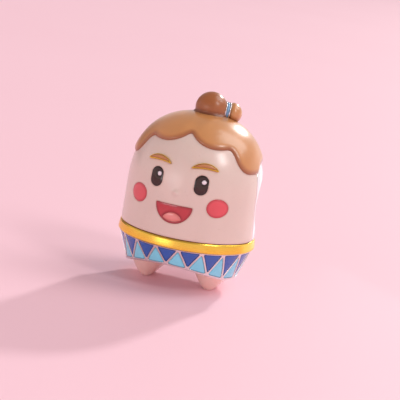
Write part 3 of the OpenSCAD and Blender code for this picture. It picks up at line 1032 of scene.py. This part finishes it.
# Mouth and tongue
# A half-round inlay of red enamel in a seat of its own, with a hump of pink enamel fired into it for the
# tongue. Both are polished almost level with the skin.
smile_z = 6.95 * mm
smile_r = 1.45 * mm
tongue_r = 0.85 * mm
tongue_rise = cell_wall
red = enamel("red_enamel", "#BE2E38", "#9C222D", roughness=0.1)
pink = enamel("pink_enamel", "#E98F88", "#D8766F", roughness=0.12)
smile = np.vstack([arc(0, smile_z, smile_r, 180, 360, 90), [(0, smile_z)]])
mouth_loop = even(from_front(dense(np.vstack([smile, smile[:1]]))), 0.06 * mm, 3)
tongue_low_r = smile_r - tongue_rise
hump_z = smile_z - smile_r
meet_z = (smile_r ** 2 + tongue_low_r ** 2 - tongue_r ** 2) / (2 * smile_r)
meet_x = math.sqrt(tongue_low_r ** 2 - meet_z ** 2)
low_turn = math.degrees(math.atan2(meet_x, meet_z))
hump_turn = math.degrees(math.atan2(smile_r - meet_z, meet_x))
hump = np.vstack([arc(0, smile_z, tongue_low_r, -90 - low_turn, -90 + low_turn, 60),
                  arc(0, hump_z, tongue_r, hump_turn, 180 - hump_turn, 60)])
tongue_loop = even(from_front(hump), 0.05 * mm, 2)
add_inlay("mouth_enamel", [inset(mouth_loop, seam / 2), inset(tongue_loop, -seam / 2)], 0.09 * mm, red,
          "mouth", 0.02 * mm)
add_inlay("tongue_enamel", [inset(tongue_loop, seam / 2)], 0.08 * mm, pink, "tongue",
          0.04 * mm, depth=inlay_t / 2)
features.append(mouth_loop)


# Skin
# Two panels of pale skin-coloured enamel, which fill the front and the back between the hair, the bare sides
# and the belt, with a seat for each feature and a small nose raised in the front one.
nose_r = 0.21 * mm
nose_rise = 0.12 * mm
nose_z = 7.85 * mm
skin_low_z = belt_top + seat_gap
# Stoned enamel: an even pale tone with a soft sheen and a little light let through
skin = enamel("skin_enamel", "#E0CDC1", "#D6BBAD", shade_reach=0.16, roughness=0.28, glow=0.15, clouding=0.015)
nose_place = from_front(np.array([(0, nose_z)]))


def skin_height(far, places):
    """Level with the casting, with a soft edge, and the nose."""
    apart = np.linalg.norm(on_body(places) - on_body(nose_place), axis=1)
    return nose_rise * np.exp(-(apart / nose_r) ** 2) - dip(far, soft_edge)


# Close rings of points round the nose, because it is finer than the rest of the panel
nose_points = [nose_place]
for r in np.linspace(0.06, 0.5, 8) * mm:
    a = np.arange(0, 2 * math.pi, 0.07 * mm / r)
    nose_points.append(nose_place + r * np.column_stack([np.cos(a), np.sin(a)]))
nose_points = np.vstack(nose_points)

quarter = np.linspace(0, 1.6, 160)
belt_line = np.column_stack([np.sin(quarter), -np.cos(quarter)]) * (dome_way[-1] + shoulder_z - skin_low_z)
skin_edge = inset(hair_loop, -seam)
skin_edge = np.vstack([skin_edge, skin_edge[:1]])
right_edge = skin_edge[np.argsort(np.arctan2(skin_edge[:, 0], -skin_edge[:, 1]))]
right_edge = right_edge[right_edge[:, 0] > 1e-6]
middle_front = np.array([(0, right_edge[0, 1])])
middle_back = np.array([(0, right_edge[-1, 1])])
right_edge = np.vstack([middle_front, right_edge, middle_back])
face_half = joined(belt_line, field_line(seam), right_edge[::-1])
back_half = joined(belt_line * (1, -1), field_line(seam)[::-1], right_edge)
seats = [inset(loop, -seam / 2) for loop in features]
for name, half, holes, extra in (("face", face_half, seats, nose_points), ("back", back_half, [], None)):
    loop = even(both_sides(half), 0.09 * mm, 1)
    points, faces, edge = panel([loop, *holes], 0.13 * mm, enamel_t, rounded(soft_edge), skin_height, extra,
                                0.1 * mm)
    make_piece(f"skin_{name}", points, faces, skin, [f"{name}_enamel"], edge)


# Belt
# A flat-faced band, gold-plated and brushed along its length, pressed into the groove above the skirt. Its
# edges are rounded, and its face leans in a little toward the top.
belt_proud = 0.12 * mm
belt_r = body_r + belt_proud
belt_edge_r = 0.07 * mm
belt_low_in = 0.02 * mm
belt_top_in = 0.09 * mm
belt_lean = 0.075 * mm
belt_steps = 288
band_top = belt_top - seat_gap
band_low = belt_low + seat_gap
face_low, face_top = band_low + belt_edge_r, band_top - belt_edge_r
share = np.linspace(0, 1, 9)
belt_outline = np.vstack([
    [(groove_r + seat_gap, band_low)],
    arc(belt_r - belt_low_in - belt_edge_r, face_low, belt_edge_r, -90, -10, 7),
    np.column_stack([belt_r - belt_lean * share ** 1.5, face_low + (face_top - face_low) * share]),
    arc(belt_r - belt_top_in - belt_edge_r, face_top, belt_edge_r, 15, 90, 7),
    [(groove_r + seat_gap, band_top)]])
belt_turns = 2 * math.pi * np.arange(belt_steps) / belt_steps
points = np.vstack([round_points(r, belt_turns, z) for r, z in belt_outline])
rings = ring_numbers(belt_steps, len(belt_outline))
make_piece("belt_band", points, strips([*rings, rings[0]]), gilt, ["gold_belt"])


# Feet
# Two tapered nubs under the hem, in a lighter, pinker copy of the skin's enamel: painted light from the pink
# floor. They are seated on the casting's arch, and worn flat at their soles, where the bead stands.
foot_x = 2.6 * mm
foot_w = 3.1 * mm
foot_power = 1.35
sole_w = 0.5 * mm
foot_l = 1.4 * mm
foot_top = hem_z + hem_arch
foot_steps = 120
foot_rows = 30
foot_turns = 2 * math.pi * np.arange(foot_steps) / foot_steps
foot_fall = np.linspace(0, math.pi / 2, 400)
foot_half = sole_w / 2 + (foot_w - sole_w) / 2 * np.cos(foot_fall) ** (2 / foot_power)
foot_up = foot_top * (1 - np.sin(foot_fall) ** (2 / foot_power))
foot_y = foot_l / 2 * np.clip(4 * np.sin(foot_turns), -1, 1)
fall_numbers = np.arange(len(foot_fall))
# Stoned like the skin, with a duller sheen, and its colour lightened and pinked with painted bounce light
bounce_lit_skin = enamel("bounce_lit_skin_enamel", "#F7D5C8", "#EBBDAE", shade_reach=0.3, roughness=0.36, glow=0.25, clouding=0.015)
for side, sign in hands.items():
    # Each direction starts where the foot's side meets the arch of the hem
    starts = np.array([np.argmax(foot_up < hem_at(sign * foot_x + foot_half * math.cos(turn)) - seam)
                       for turn in foot_turns])
    points = []
    for share in np.linspace(0, 1, foot_rows) ** 0.8:
        at = starts + share * (len(foot_fall) - 1 - starts)
        out = np.interp(at, fall_numbers, foot_half)
        x = sign * foot_x + out * np.cos(foot_turns)
        y = foot_y + out * np.sin(foot_turns)
        points.append(np.column_stack([x, y, np.interp(at, fall_numbers, foot_up)]))
    # The two halves of the top meet along its middle line
    points.append(np.column_stack([np.full(foot_steps, sign * foot_x), foot_y,
                                   np.full(foot_steps, hem_at(foot_x) - seam)]))
    *rings, middle_line = ring_numbers(foot_steps, foot_rows + 1)
    faces = strips([middle_line, *rings]) + [tuple(rings[-1][::-1])]
    points = np.vstack(points)
    make_piece(f"foot_enamel_{side}", points, faces, bounce_lit_skin, [f"foot_{side}"],
               np.full(len(points), 0.4 * mm))
